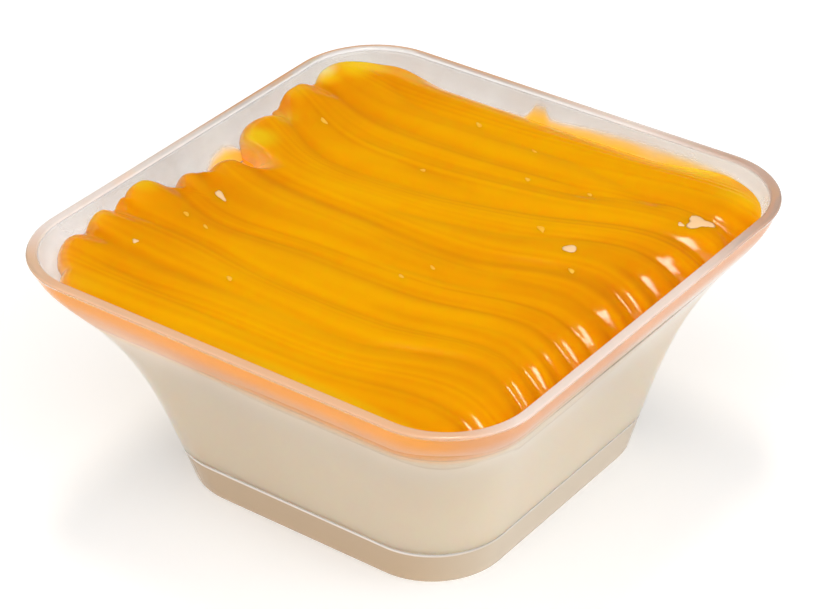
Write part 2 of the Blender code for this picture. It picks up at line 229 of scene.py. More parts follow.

# The jam smeared up the walls. Each smear has an outline of (x, y, depth below the rim), in order
# counter-clockwise seen from above, whose x and y lie outside the wall that it is on. It reaches
# down to its foot, and fades from the given share of its height up to its outline. A front one is
# seen from outside, through the wall, and fades towards its foot too.
# A front smear glows as painted light, and turns paler towards +X as a painted reflection
OUTSIDE = RIM_HALF + 0.010
Smear = namedtuple("Smear", "name outline foot fade front into_wall")
SMEARS = (
    Smear(
        "jam_smear_back",
        (
            (0.0440, OUTSIDE, 0.0044),
            (0.0400, OUTSIDE, 0.0030),
            (0.0340, OUTSIDE, 0.0018),
            (0.0250, OUTSIDE, 0.0012),
            (0.0170, OUTSIDE, 0.0012),
            (0.0100, OUTSIDE, 0.0015),
            (0.0050, OUTSIDE, 0.0019),
            (-0.0010, OUTSIDE, 0.0026),
            (-0.0034, OUTSIDE, 0.0026),
            (-0.0045, OUTSIDE, 0.0006),
            (-0.0064, OUTSIDE, 0.0008),
            (-0.0080, OUTSIDE, 0.0038),
            (-0.0200, OUTSIDE, 0.0042),
        ),
        foot=0.0056,
        fade=0.56,
        front=0,
        into_wall=0.0001,
    ),
    Smear(
        "jam_smear_side",
        (
            (-OUTSIDE, 0.0100, 0.0060),
            (-OUTSIDE, 0.0080, 0.0040),
            (-OUTSIDE, 0.0060, 0.0032),
            (-OUTSIDE, 0.0030, 0.0038),
            (-OUTSIDE, 0.0000, 0.0058),
        ),
        foot=0.0070,
        fade=0.45,
        front=0,
        into_wall=0.0001,
    ),
    Smear(
        "jam_smear_front",
        (
            (-0.0450, -0.0530, 0.0006),
            (-0.0430, -OUTSIDE, 0.0006),
            (0.0420, -OUTSIDE, 0.0006),
            (OUTSIDE, -0.0520, 0.0006),
            (OUTSIDE, 0.0050, 0.0006),
            (OUTSIDE, 0.0300, 0.0007),
            (0.0550, 0.0396, 0.0012),
        ),
        foot=0.0100,
        fade=0.96,
        front=1,
        into_wall=0.00025,
    ),
)
SMEAR_THICKNESS = 0.00025
SKIN_TAPER = 0.9
SMEAR_END = 0.97
FRONT_FOOT_BEGIN = 0.15
FRONT_FOOT_REACH = 0.16
# Where the front smear turns paler towards +X, a painted reflection
RIGHT_BEGIN = 0.034
RIGHT_REACH = 0.010

# The grey film on the walls follows this path, outside the walls, from +X round +Y and -X to -Y
HAZE_PATH = (
    (OUTSIDE, 0.030),
    (OUTSIDE, OUTSIDE),
    (-OUTSIDE, OUTSIDE),
    (-OUTSIDE, -OUTSIDE),
    (-0.034, -OUTSIDE),
)
HAZE_TOP = 0.0003
HAZE_THICKNESS = 0.00003
HAZE_INTO_WALL = 0.0001

# ---- Fineness of the modelled surfaces ----

CORNER_STEPS = 28
WALL_RINGS = 90
FOOT_RINGS = 12
PUDDING_RINGS = 60
FILLET_STEPS = 8
FOOT_ARC_STEPS = 4
RIM_ARC_STEPS = 6
ROPE_ROWS = 270
ROPE_COLUMNS = 200
END_DENSITY = 0.4
SIDE_STEPS = 12
BUBBLE_RINGS = 5
BUBBLE_STEPS = 24
SKIN_ROWS = 17
SMEAR_COLUMNS = 100
HAZE_COLUMNS = 320
KNOTS_ALONG = 97
KNOTS_ACROSS = 89
KNOT_SHIFT = 7
KNOT_SHIFT_PITCH = 0.9

# ---- The materials' places: heights as shares of the cup's height, and lengths ----

RIM_FACE = (0.989, 0.994)
# Where the plastic gets a painted highlight along the seam and painted shade in the foot
SEAM_HIGHLIGHT = (0.146, 0.150, 0.159, 0.163)
SHADED_FOOT_END = (0.146, 0.155)
STREAK_LENGTH = 0.014
STREAK_SPACING = 0.0032
JAM_GLOW_REACH = 0.008
BLACK = (0.0, 0.0, 0.0)
WHITE = (1.0, 1.0, 1.0)

# ---- The stage ----

FLOOR_HALF = 3.0
SKY_STRENGTH = 0.03
Lamp = namedtuple("Lamp", "name azimuth elevation distance width height power color")
LAMPS = (
    Lamp("strip_behind", 218, 73, 0.9, 0.12, 0.38, 2.6, (1.0, 0.88, 0.76)),
    Lamp("high_front", 38, 66, 1.3, 1.6, 1.2, 8.4, WHITE),
    Lamp("right", 82, 30, 1.1, 1.2, 0.8, 4.7, (0.95, 0.98, 1.0)),
    Lamp("left", -10, 30, 1.1, 1.2, 0.8, 2.5, (1.0, 0.955, 0.89)),
    Lamp("right_behind", 128, 38, 1.2, 0.8, 0.6, 2.3, WHITE),
    Lamp("left_behind", -62, 38, 1.2, 0.8, 0.6, 2.3, WHITE),
)

# ---- The camera, where the photograph was taken from ----

IMAGE_WIDTH = 827
FOCAL_PIXELS = 2865.24
SENSOR = 36.0
AZIMUTH = math.radians(37.925)
ELEVATION = math.radians(32.897)
ROLL = math.radians(-1.558)
DISTANCE = 0.44367
SHIFT_RIGHT = 0.000596
SHIFT_UP = -0.013212


# ---- The cup's profile ----


def outer_half(z):
    """Half the cup's outer width at height z: the flared wall, cut off by the lip."""
    flared = FOOT_HALF + DRAFT * z + FLARE * (z / HEIGHT) ** FLARE_POWER
    lip = RIM_HALF - LIP_LEAN * (HEIGHT - z)
    overlap = np.maximum(KNEE_BLEND - np.abs(flared - lip), 0.0) / KNEE_BLEND
    return np.minimum(flared, lip) - overlap**2 * KNEE_BLEND / 4


def outer_corner(z):
    return FOOT_CORNER + (RIM_CORNER - FOOT_CORNER) * z / HEIGHT


def wall_width(z):
    """The wall's width measured level: more where it leans, and RIM_WIDTH at the rim."""
    step = 1e-5
    lean = (outer_half(z) - outer_half(z - step)) / step
    leaning = WALL * np.hypot(1.0, lean)
    towards_rim = np.maximum(0.0, 1.0 - (HEIGHT - z) / LIP_BLEND)
    return leaning + (RIM_WIDTH - leaning) * towards_rim


def inner_half(z):
    return outer_half(z) - wall_width(z)


def inner_corner(z):
    return outer_corner(z) - wall_width(z)


# ---- Meshes ----


def new_piece(name, verts, faces, material, replaced):
    """A smooth-shaded mesh that rides on the object's one body."""
    mesh = bpy.data.meshes.new(name)
    mesh.from_pydata([tuple(map(float, v)) for v in verts], [], faces)
    mesh.validate()
    mesh.shade_smooth()
    mesh.materials.append(material)
    piece = bpy.data.objects.new(name, mesh)
    bpy.context.scene.collection.objects.link(piece)
    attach(piece, "root")
    if replaced:
        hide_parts(replaced)
    return piece


def rounded_square(half, corner, z):
    straight = half - corner
    ring = []
    for quarter in range(4):
        middle = math.radians(45 + 90 * quarter)
        centre_x = math.copysign(straight, math.cos(middle))
        centre_y = math.copysign(straight, math.sin(middle))
        for step in range(CORNER_STEPS + 1):
            angle = math.radians(90 * quarter + 90 * step / CORNER_STEPS)
            x = centre_x + corner * math.cos(angle)
            y = centre_y + corner * math.sin(angle)
            ring.append((x, y, z))
    return ring


def loft(sections):
    """Vertices and faces of a closed solid through rounded squares (half, corner, z)."""
    verts = []
    for section in sections:
        verts += rounded_square(*section)
    count = 4 * (CORNER_STEPS + 1)
    faces = []
    for ring in range(len(sections) - 1):
        for index in range(count):
            here = ring * count + index
            beside = ring * count + (index + 1) % count
            faces.append((here, beside, beside + count, here + count))
    faces.append(tuple(reversed(range(count))))
    last = (len(sections) - 1) * count
    faces.append(tuple(range(last, last + count)))
    return verts, faces


def arc_sections(half, corner, z, radius, start, end, steps):
    """Sections that turn round an arc seen in the cup's cross-section, about the section given."""
    sections = []
    for step in range(steps + 1):
        angle = math.radians(start + (end - start) * step / steps)
        out = radius * math.cos(angle)
        sections.append((half + out, corner + out, z + radius * math.sin(angle)))
    return sections


def fillet_sections(bottom, radius, into_wall):
    """Sections of the fillet between the inner wall and a floor, from the wall down."""
    sections = []
    for step in range(1, FILLET_STEPS + 1):
        angle = math.radians(90 * step / FILLET_STEPS)
        z = bottom + radius * (1 - math.sin(angle))
        taken_in = radius * (1 - math.cos(angle)) - into_wall
        sections.append((inner_half(z) - taken_in, inner_corner(z) - taken_in, z))
    return sections


def middle_section(z):
    """A small section in the middle of a flat face of the floor, where the loft ends."""
    return MIDDLE_SHARE * FOOT_HALF, MIDDLE_SHARE * FOOT_CORNER, z


def make_cup(material):
    """The clear shell, with a round-edged rim and foot and a filleted floor."""
    under_half = inner_half(FLOOR_UNDERSIDE) - FOOT_EDGE
    under_corner = inner_corner(FLOOR_UNDERSIDE) - FOOT_EDGE
    sections = [middle_section(FLOOR_UNDERSIDE), (under_half, under_corner, FLOOR_UNDERSIDE)]
    for z in np.linspace(FLOOR_UNDERSIDE - FOOT_EDGE, FOOT_EDGE, FOOT_RINGS):
        sections.append((inner_half(z), inner_corner(z), z))
    half, corner = inner_half(0.0) + FOOT_EDGE, inner_corner(0.0) + FOOT_EDGE
    sections += arc_sections(half, corner, FOOT_EDGE, FOOT_EDGE, 200, 270, FOOT_ARC_STEPS)
    half, corner = outer_half(0.0) - FOOT_EDGE, outer_corner(0.0) - FOOT_EDGE
    sections += arc_sections(half, corner, FOOT_EDGE, FOOT_EDGE, 270, 350, FOOT_ARC_STEPS)
    above_foot_arc = FOOT_EDGE * 1.2
    under_rim_arc = HEIGHT - RIM_ROUND
    for z in np.linspace(above_foot_arc, under_rim_arc, WALL_RINGS):
        sections.append((outer_half(z), outer_corner(z), z))
    first_of_edge = len(sections)
    half, corner = outer_half(HEIGHT) - RIM_ROUND, outer_corner(HEIGHT) - RIM_ROUND
    sections += arc_sections(half, corner, under_rim_arc, RIM_ROUND, 10, 90, RIM_ARC_STEPS)
    last_of_edge = len(sections)
    half, corner = inner_half(HEIGHT) + RIM_ROUND, inner_corner(HEIGHT) + RIM_ROUND
    sections += arc_sections(half, corner, under_rim_arc, RIM_ROUND, 90, 170, RIM_ARC_STEPS)
    for z in np.linspace(under_rim_arc, FLOOR_TOP + FLOOR_FILLET, WALL_RINGS):
        sections.append((inner_half(z), inner_corner(z), z))
    sections += fillet_sections(FLOOR_TOP, FLOOR_FILLET, 0.0)
    sections.append(middle_section(FLOOR_TOP))
    verts, faces = loft(sections)
    piece = new_piece("cup_clear", verts, faces, material, "cup")
    ring = np.arange(len(verts)) // (4 * (CORNER_STEPS + 1))
    add_values(piece, "edge", (ring >= first_of_edge) & (ring < last_of_edge))


def make_pudding(material):
    """The set cream, pressed just into the cup's wall and into its floor so that no gap shows."""
    bottom = FLOOR_UNDERSIDE + INTO_WALL
    sections = [middle_section(bottom)]
    sections += reversed(fillet_sections(bottom, PUDDING_FILLET, INTO_WALL))
    for z in np.linspace(bottom + PUDDING_FILLET, PUDDING_TOP, PUDDING_RINGS):
        sections.append((inner_half(z) + INTO_WALL, inner_corner(z) + INTO_WALL, z))
    half, corner, _ = sections[-1]
    sections.insert(-1, (half, corner, PUDDING_TOP - CRISP))
    set_in = INTO_WALL * 1.5
    half, corner = inner_half(PUDDING_TOP) - set_in, inner_corner(PUDDING_TOP) - set_in
    sections.append((half, corner, PUDDING_TOP))
    sections.append((RIM_HALF / 2, RIM_CORNER / 2, PUDDING_TOP))
    verts, faces = loft(sections)
    new_piece("pudding_cream", verts, faces, material, "milk_pudding")


# ---- The piped jam ----


def keep_inside(x, y, z, margin):
    """Moves points at height z that are past the cup's inner wall, plus the margin, onto it."""
    corner = inner_corner(z) + margin
    straight = inner_half(z) + margin - corner
    past_x = np.maximum(np.abs(x) - straight, 0.0)
    past_y = np.maximum(np.abs(y) - straight, 0.0)
    past = np.maximum(np.hypot(past_x, past_y), 1e-9)
    scale = np.minimum(corner / past, 1.0)
    near_x = np.minimum(np.abs(x), straight) + past_x * scale
    near_y = np.minimum(np.abs(y), straight) + past_y * scale
    return np.copysign(near_x, x), np.copysign(near_y, y)


def along_stations(x, values):
    """A smooth curve through one value at each station, and half a stretch past the last ones."""
    stations = np.array(STATIONS)
    values = np.array(values)
    slopes = np.gradient(values, stations)
    place = np.clip(np.searchsorted(stations, x) - 1, 0, len(stations) - 2)
    length = stations[place + 1] - stations[place]
    t = np.clip((x - stations[place]) / length, -0.5, 1.5)
    return (
        values[place] * (1 + 2 * t) * (1 - t) ** 2
        + values[place + 1] * t**2 * (3 - 2 * t)
        + slopes[place] * length * t * (1 - t) ** 2
        - slopes[place + 1] * length * t**2 * (1 - t)
    )


def ease(value):
    value = np.clip(value, 0.0, 1.0)
    return value * value * (3 - 2 * value)


def rope_start(end, y):
    """The X where a rope's round end begins at each y, further back beside the rope."""
    across = np.abs(y - end.y) / end.half_width
    beside = np.maximum(across - 1.0, 0.0) * end.half_width * OUTSIDE_LANE_SLOPE
    rounded = 1.0 - np.sqrt(1.0 - np.minimum(across, 1.0) ** 2)
    leaned = end.lean * np.clip(y - end.y, -end.half_width, end.half_width)
    return end.reach + end.roundness * rounded + beside - leaned


def rope_fullness(x, y):
    """How much of the ropes' height is reached: 0 outside their round ends, 1 behind them."""
    fullness = np.zeros_like(x)
    for end in ROPE_ENDS:
        depth_in = np.clip((x - rope_start(end, y)) / ROUND_OVER, 0.0, 1.0)
        fullness = np.maximum(fullness, np.sqrt(1.0 - (1.0 - depth_in) ** 2))
    return fullness


def groove_depth(x, y):
    """How far the grooves between the ropes cut in."""
    near_ends = ease(1.0 - (x + RIM_HALF) / DEEPER_AT_ENDS_REACH)
    near_far_wall = ease(1.0 - (RIM_HALF - x) / DEEPER_AT_FAR_WALL_REACH)
    deeper = 1.0 + DEEPER_AT_ENDS * near_ends + DEEPER_AT_FAR_WALL * near_far_wall
    cut = np.zeros_like(x)
    for groove in GROOVES:
        present = ease((x - groove.begin) / GROOVE_FADE) * ease((groove.end - x) / GROOVE_FADE)
        across = np.hypot((y - along_stations(x, groove.y)) / GROOVE_REACH, GROOVE_ROUND)
        cut = cut + groove.depth * present * np.clip(1.0 + GROOVE_ROUND - across, 0.0, 1.0) ** 2
    return cut * deeper


def lane(x, y):
    """A coordinate across the ropes that stays the same along each through-going groove."""
    lines = [along_stations(x, GROOVES[index].y) for index in THROUGH_GROOVES]
    lines = [np.full_like(x, -RIM_HALF), *lines, np.full_like(x, RIM_HALF)]
    across = np.zeros_like(x)
    for low, high in zip(lines, lines[1:]):
        width = float(np.mean(high - low))
        across = across + width * np.clip((y - low) / (high - low), 0.0, 1.0)
    return across


def smooth_noise(along, across, seed):
    """Seeded noise from 0 to 1 with a knot at each whole number of both coordinates."""
    knots = np.random.default_rng(seed).random((KNOTS_ALONG, KNOTS_ACROSS))

    def knot(i, j):
        return knots[i % KNOTS_ALONG, j % KNOTS_ACROSS]

    along = along + KNOT_SHIFT * np.sin(across * KNOT_SHIFT_PITCH)
    i = np.floor(along).astype(int)
    j = np.floor(across).astype(int)
    share_along = ease(along - i)
    share_across = ease(across - j)
    near = knot(i, j) * (1 - share_along) + knot(i + 1, j) * share_along
    far = knot(i, j + 1) * (1 - share_along) + knot(i + 1, j + 1) * share_along
    return near * (1 - share_across) + far * share_across


def drawn_lines(x, y, lines):
    """0 to 1 between the lines that the piping drew along the ropes."""
    return smooth_noise(x / lines.length, lane(x, y) / lines.spacing, lines.seed)


def soft_spot(x, y, spot):
    """1 in the middle of a round spot, easing to 0 at its reach."""
    away = np.hypot((x - spot.x) / spot.reach_x, (y - spot.y) / spot.reach_y)
    return ease(1.0 - away)


def sink_to_wall(distance, sink):
    return sink.depth * np.clip(1.0 - distance / sink.reach, 0.0, 1.0) ** 2


def jam_height(x, y):
    """Height of the jam's upper surface over each x and y."""
    wall = inner_half(CROWN)
    swell = SWELL.height * np.sin(x / SWELL.along + y / SWELL.slant)
    swell = swell * np.cos(y / SWELL.across - SWELL.shift)
    full = CROWN + swell - groove_depth(x, y) - PARTING.depth * soft_spot(x, y, PARTING)
    for lines in (BROAD_LINES, FINE_LINES):
        full = full - lines.depth * drawn_lines(x, y, lines)
    full = full - sink_to_wall(wall - x, SINK_FAR_ENDS)
    full = full - sink_to_wall(wall + y, SINK_FRONT)
    kept = 1.0
    for climb in CLIMBS:
        kept = kept - climb.share * ease(1.0 - np.abs(x - climb.x) / climb.reach)
    full = full - sink_to_wall(wall - y, SINK_BACK) * kept
    for end in ROPE_ENDS:
        beside = (y - end.y) / (end.half_width * RISE_SPREAD)
        full = full + end.rise * ease(1.0 - np.hypot((x - end.reach) / RISE_REACH, beside))
    return JAM_EDGE + (full - JAM_EDGE) * rope_fullness(x, y)


def dense_at_ends(t):
    """Maps -1..1 onto itself with its steps closer together towards both ends."""
    return (1.0 - END_DENSITY) * t + END_DENSITY * np.sin(t * math.pi / 2)


def jam_top_points():
    """The jam's upper surface as rows of (x, y, z) across Y, each running along X."""
    half = inner_half(CROWN) + INTO_WALL
    corner = inner_corner(CROWN) + INTO_WALL
    y = half * dense_at_ends(np.linspace(-1.0, 1.0, ROPE_ROWS))[:, None]
    share = (dense_at_ends(np.linspace(-1.0, 1.0, ROPE_COLUMNS))[None, :] + 1.0) / 2
    into_corner = np.maximum(np.abs(y) - (half - corner), 0.0)
    wall_x = half - corner + np.sqrt(np.maximum(corner**2 - into_corner**2, 0.0))
    ends = np.min([rope_start(end, y) for end in ROPE_ENDS], axis=0)
    start_x = np.maximum(ends, -wall_x)
    x = start_x + (wall_x - start_x) * share
    y = np.broadcast_to(y, x.shape)
    z = jam_height(x, y)
    x, y = keep_inside(x, y, z, INTO_WALL)
    return x, y, z


def grid_faces(rows, columns):
    faces = []
    for row in range(rows - 1):
        for column in range(columns - 1):
            here = row * columns + column
            faces.append((here, here + 1, here + 1 + columns, here + columns))
    return faces


def grid_border(rows, columns):
    """The indices round a grid's edge, in order."""
    front = [column for column in range(columns - 1)]
    right = [row * columns + columns - 1 for row in range(rows - 1)]
    back = [(rows - 1) * columns + column for column in range(columns - 1, 0, -1)]
    left = [row * columns for row in range(rows - 1, 0, -1)]
    return front + right + back + left


def add_values(piece, name, values):
    """Keeps one number for each vertex, for the material to read."""
    attribute = piece.data.attributes.new(name, "FLOAT", "POINT")
    attribute.data.foreach_set("value", np.asarray(values, np.float32))


def close_below(top, faces, border):
    """Closes the jam's top with rings that go down the wall, and then end just in the pudding."""
    edge = top[border]
    down = PUDDING_TOP - edge[:, 2]
    levels = [edge[:, 2] + down * step / SIDE_STEPS for step in range(1, SIDE_STEPS)]
    levels += [np.full(len(border), level) for level in (PUDDING_TOP + CRISP, PUDDING_TOP)]
    margins = [INTO_WALL] * len(levels) + [-JAM_SUNK]
    levels.append(np.full(len(border), PUDDING_TOP - JAM_SUNK))
    layers = [top]
    count = len(top)
    ring = list(border)
    for level, margin in zip(levels, margins):
        side_x, side_y = keep_inside(edge[:, 0], edge[:, 1], level, margin)
        layers.append(np.stack([side_x, side_y, level], axis=1))
        following = list(range(count, count + len(border)))
        count += len(border)
        for index in range(len(border)):
            beside = (index + 1) % len(border)
            faces.append((ring[index], following[index], following[beside], ring[beside]))
        ring = following
    faces.append(tuple(reversed(ring)))
    return np.concatenate(layers)


def make_jam(material):
    """The ropes of jam, with the values that their material reads."""
    x, y, z = jam_top_points()
    rows, columns = x.shape
    top = np.stack([x.ravel(), y.ravel(), z.ravel()], axis=1)
    faces = grid_faces(rows, columns)
    verts = close_below(top, faces, grid_border(rows, columns))
    piece = new_piece("jam_ropes", verts, faces, material, "mango_jam")
    x, y, _ = verts.T
    on_side = np.arange(len(verts)) >= len(top)
    fringe, outline, wall = jam_edges(x, y)
    parted = soft_spot(x, y, PARTING)
    beside = (1.0 - rope_fullness(x, y)) ** 2
    thin = THIN.beside * beside + THIN.fringe * fringe + THIN.parted * parted
    glow = GLOW.wall * wall + GLOW.fringe * fringe + GLOW.parted * parted
    yellow = sum(spot.strength * soft_spot(x, y, spot) for spot in YELLOW_PATCHES)
    add_values(piece, "thin", np.where(on_side, 0.0, thin))
    add_values(piece, "side", on_side)
    add_values(piece, "glow", np.where(on_side, 1.0, glow))
    add_values(piece, "lane", lane(x, y))
    add_values(piece, "painted_shade_and_tone", jam_tone_and_painted_shade(x, y))
    add_values(piece, "yellow", yellow)
    add_values(piece, "outline", outline)
    add_values(piece, "pale", PALE_PATCH.strength * soft_spot(x, y, PALE_PATCH))


def make_bubbles(material):
    """Small flat lenses that follow the jam's surface, half sunk into it."""
    points = []
    faces = []
    white = []
    for number, bubble in enumerate(BUBBLES):
        first = len(points)
        for ring in range(1, BUBBLE_RINGS + 1):
            angle = math.pi * ring / (BUBBLE_RINGS + 1)
            for step in range(BUBBLE_STEPS):
                turn = 2 * math.pi * step / BUBBLE_STEPS
                uneven = 1.0 + bubble.wobble * math.cos(3 * turn + number)
                along = bubble.length / 2 * math.sin(angle) * math.cos(turn) * uneven
                aside = bubble.width / 2 * math.sin(angle) * math.sin(turn) * uneven
                x = bubble.x + along * math.cos(BUBBLE_AXIS) - aside * math.sin(BUBBLE_AXIS)
                y = bubble.y + along * math.sin(BUBBLE_AXIS) + aside * math.cos(BUBBLE_AXIS)
                points.append((x, y, BUBBLE_RISE * math.cos(angle) * abs(math.cos(angle))))
        last = first + (BUBBLE_RINGS - 1) * BUBBLE_STEPS
        for ring_start in range(first, last, BUBBLE_STEPS):
            for step in range(BUBBLE_STEPS):
                here = ring_start + step
                beside = ring_start + (step + 1) % BUBBLE_STEPS
                faces.append((here, here + BUBBLE_STEPS, beside + BUBBLE_STEPS, beside))
        faces.append(tuple(range(first, first + BUBBLE_STEPS)))
        faces.append(tuple(reversed(range(last, last + BUBBLE_STEPS))))
        white += [bubble.white] * (BUBBLE_RINGS * BUBBLE_STEPS)
    x, y, above = np.array(points).T
    verts = np.stack([x, y, jam_height(x, y) + above], axis=1)
    piece = new_piece("jam_bubbles", verts, faces, material, None)
    add_values(piece, "white", white)


def make_skin(name, path, tops, bottom, thickness, into_wall, material):
    """A thin skin on the cup's inner wall, along a path of (x, y) outside it, under given tops.

    One layer faces the cup's inside and the other, in the wall, faces out.
    """
    shape = (SKIN_ROWS, len(path))
    rise = np.linspace(0.0, 1.0, SKIN_ROWS)[:, None]
    z = (bottom + (tops - bottom) * rise).ravel()
    x, y, rise = (np.broadcast_to(values, shape).ravel() for values in (*path.T, rise))
    lift = thickness * np.sqrt(1.0 - SKIN_TAPER * rise**2)
    layers = []
    for margin in (-lift, into_wall):
        layer_x, layer_y = keep_inside(x, y, z, margin)
        layers.append(np.stack([layer_x, layer_y, z], axis=1))
    verts = np.concatenate(layers)
    count = len(z)
    outward = grid_faces(*shape)
    faces = [tuple(reversed(face)) for face in outward]
    faces += [tuple(index + count for index in face) for face in outward]
    border = grid_border(*shape)
    for index, here in enumerate(border):
        beside = border[(index + 1) % len(border)]
        faces.append((here, beside, beside + count, here + count))
    piece = new_piece(name, verts, faces, material, None)
    rise = np.tile(rise, 2)
    add_values(piece, "rise", rise)
    return piece, verts, rise


def even_points(outline, count):
    """Points spread evenly along a line through the given points."""
    outline = np.array(outline)
    steps = np.hypot(*np.diff(outline[:, :2], axis=0).T)
    place = np.concatenate([[0.0], np.cumsum(steps)])
    spread = np.linspace(0.0, place[-1], count)
    return np.stack([np.interp(spread, place, column) for column in outline.T], axis=1)


def make_smears(material):
    """The smears of jam, and how far each covers the wall."""
    for smear in SMEARS:
        points = even_points(smear.outline, SMEAR_COLUMNS)
        piece, verts, rise = make_skin(
            smear.name,
            points[:, :2],
            HEIGHT - points[:, 2],
            HEIGHT - smear.foot,
            SMEAR_THICKNESS,
            smear.into_wall,
            material,
        )
        cover = 1.0 - ease((rise - smear.fade) / (SMEAR_END - smear.fade))
        if smear.front:
            cover = cover * ease((rise - FRONT_FOOT_BEGIN) / FRONT_FOOT_REACH)
        add_values(piece, "cover", cover)
        add_values(piece, "front", np.full(len(verts), smear.front))
        right = smear.front * ease((verts[:, 0] - RIGHT_BEGIN) / RIGHT_REACH)
        add_values(piece, "right", right)


def make_haze(material):
    """A thin, uneven grey film that darkens the walls, apart from most of +X and -Y."""
    path = even_points(HAZE_PATH, HAZE_COLUMNS)
    tops = np.full(len(path), HEIGHT - HAZE_TOP)
    make_skin(
        "wall_film",
        path,
        tops,
        PUDDING_TOP,
        HAZE_THICKNESS,
        HAZE_INTO_WALL,
        material,
    )


def jam_tone_and_painted_shade(x, y):
    """0 where the jam is lightest to 1 where it is darkest, with painted shade in grooves and towards
    the ends.
    """
    grooves = np.clip(groove_depth(x, y) / FULL_TONE_GROOVE, 0.0, 1.0)
    towards_ends = ease((np.abs(x - LIGHT_MIDDLE) - LIGHT_REACH) / DEEPENING_REACH)
    broad = drawn_lines(x, y, BROAD_LINES) - 0.5
    fine = drawn_lines(x, y, FINE_LINES) - 0.5
    tone = TONE.base + TONE.grooves * grooves + TONE.ends * towards_ends
    return tone + TONE.broad_lines * broad + TONE.fine_lines * fine


def jam_edges(x, y):
    """Shares from 0 to 1: the ropes' pale fringe, their outline of painted shade and the edge at the
    +Y wall, which gets painted glow.
    """
    starts = np.stack([rope_start(end, y) for end in ROPE_ENDS])
    nearest = np.argmin(starts, axis=0)
    middle = np.array([end.y for end in ROPE_ENDS])[nearest]
    half_width = np.array([end.half_width for end in ROPE_ENDS])[nearest]
    across = (y - middle) / half_width
    past = np.maximum(x - starts.min(axis=0), 0.0)
    fringe = np.exp(-past / FRINGE_WIDTH) * ease(FRINGE_UP_TO - across)
    outline = np.exp(-past / OUTLINE_WIDTH) * ease(across - OUTLINE_FROM)
    to_wall = np.maximum(inner_half(CROWN) - y, 0.0)
    return fringe, outline, np.exp(-to_wall / WALL_EDGE_WIDTH)


# ---- Materials ----


def new_material(name):
    """A material with its node tree, its Principled shader and the object's own coordinates."""
    material = bpy.data.materials.new(name)
    material.use_nodes = True
    tree = material.node_tree
    place = add_node(tree, "ShaderNodeTexCoord").outputs["Object"]
    return material, tree, tree.nodes["Principled BSDF"], place


def feed(node, key, value):
    """Gives a node's input a value, or links it to a socket."""
    if isinstance(value, bpy.types.NodeSocket):
        node.id_data.links.new(value, node.inputs[key])
    else:
        node.inputs[key].default_value = value


def add_node(tree, kind, settings=(), inputs=()):
    """A shader node with its settings and its inputs, which are values or sockets to link from."""
    made = tree.nodes.new(kind)
    for key, value in dict(settings).items():
        setattr(made, key, value)
    for key, value in dict(inputs).items():
        feed(made, key, value)
    return made


def set_shader(shader, **inputs):
    for key, value in inputs.items():
        feed(shader, key.replace("_", " "), value)


def color_ramp(tree, fac, stops):
    """A ramp through (position, colour) stops."""
    stops = list(stops)
    ramp = add_node(tree, "ShaderNodeValToRGB", inputs={"Fac": fac})
    elements = ramp.color_ramp.elements
    while len(elements) < len(stops):
        elements.new(1.0)
    for element, (position, color) in zip(elements, stops):
        element.position = position
        element.color = (*color, 1.0)
    return ramp.outputs["Color"]


def bump(tree, height, strength, distance):
    inputs = {"Height": height, "Strength": strength, "Distance": distance}
    return add_node(tree, "ShaderNodeBump", inputs=inputs).outputs["Normal"]


def attribute(tree, name):
    return add_node(tree, "ShaderNodeAttribute", {"attribute_name": name}).outputs["Fac"]


def math_node(tree, operation, *values, clamp=False):
    settings = {"operation": operation, "use_clamp": clamp}
    return add_node(tree, "ShaderNodeMath", settings, enumerate(values)).outputs["Value"]


def scaled(tree, value, factor, offset):
    """The value times the factor, plus the offset."""
    return math_node(tree, "MULTIPLY_ADD", value, factor, offset)


def between(tree, value, zero_at, one_at):
    """0 where the value is the one given, to 1 where it is the other, and kept from 0 to 1."""
    factor = 1 / (one_at - zero_at)
    return math_node(tree, "MULTIPLY_ADD", value, factor, -zero_at * factor, clamp=True)


def xyz(tree, place):
    return add_node(tree, "ShaderNodeSeparateXYZ", inputs={"Vector": place}).outputs


def mix_colors(tree, fac, first, second):
    """From the first colour, a socket, to the second, a fixed colour."""
    settings = {"data_type": "RGBA", "clamp_factor": True}
    made = add_node(tree, "ShaderNodeMix", settings, {0: fac, 6: first, 7: (*second, 1.0)})
    return made.outputs[2]


def along_lanes(tree, place):
    """Texture coordinates that run with the ropes, stretched along them."""
    along = scaled(tree, xyz(tree, place)["X"], 1 / STREAK_LENGTH, 0.0)
    across = scaled(tree, attribute(tree, "lane"), 1 / STREAK_SPACING, 0.0)
    lanes = add_node(tree, "ShaderNodeCombineXYZ", inputs={"X": along, "Y": across, "Z": 0.0})
    return lanes.outputs["Vector"]


def noise(tree, vector, scale, detail=2.0, roughness=0.5):
    inputs = {"Vector": vector, "Scale": scale, "Detail": detail, "Roughness": roughness}
    return add_node(tree, "ShaderNodeTexNoise", inputs=inputs).outputs["Fac"]


def srgb(red, green, blue):
    """A linear colour from 0-255 display values."""
    out = []
    for value in (red, green, blue):
        share = value / 255
        out.append(share / 12.92 if share <= 0.04045 else ((share + 0.055) / 1.055) ** 2.4)
    return tuple(out)


# Parts of the cup where painted light and shade go into the plastic's colour and clearness
CupParts = namedtuple(
    "CupParts", "foot left_foot seam near_rim front_rim right_rim far_rim far_edge"
)


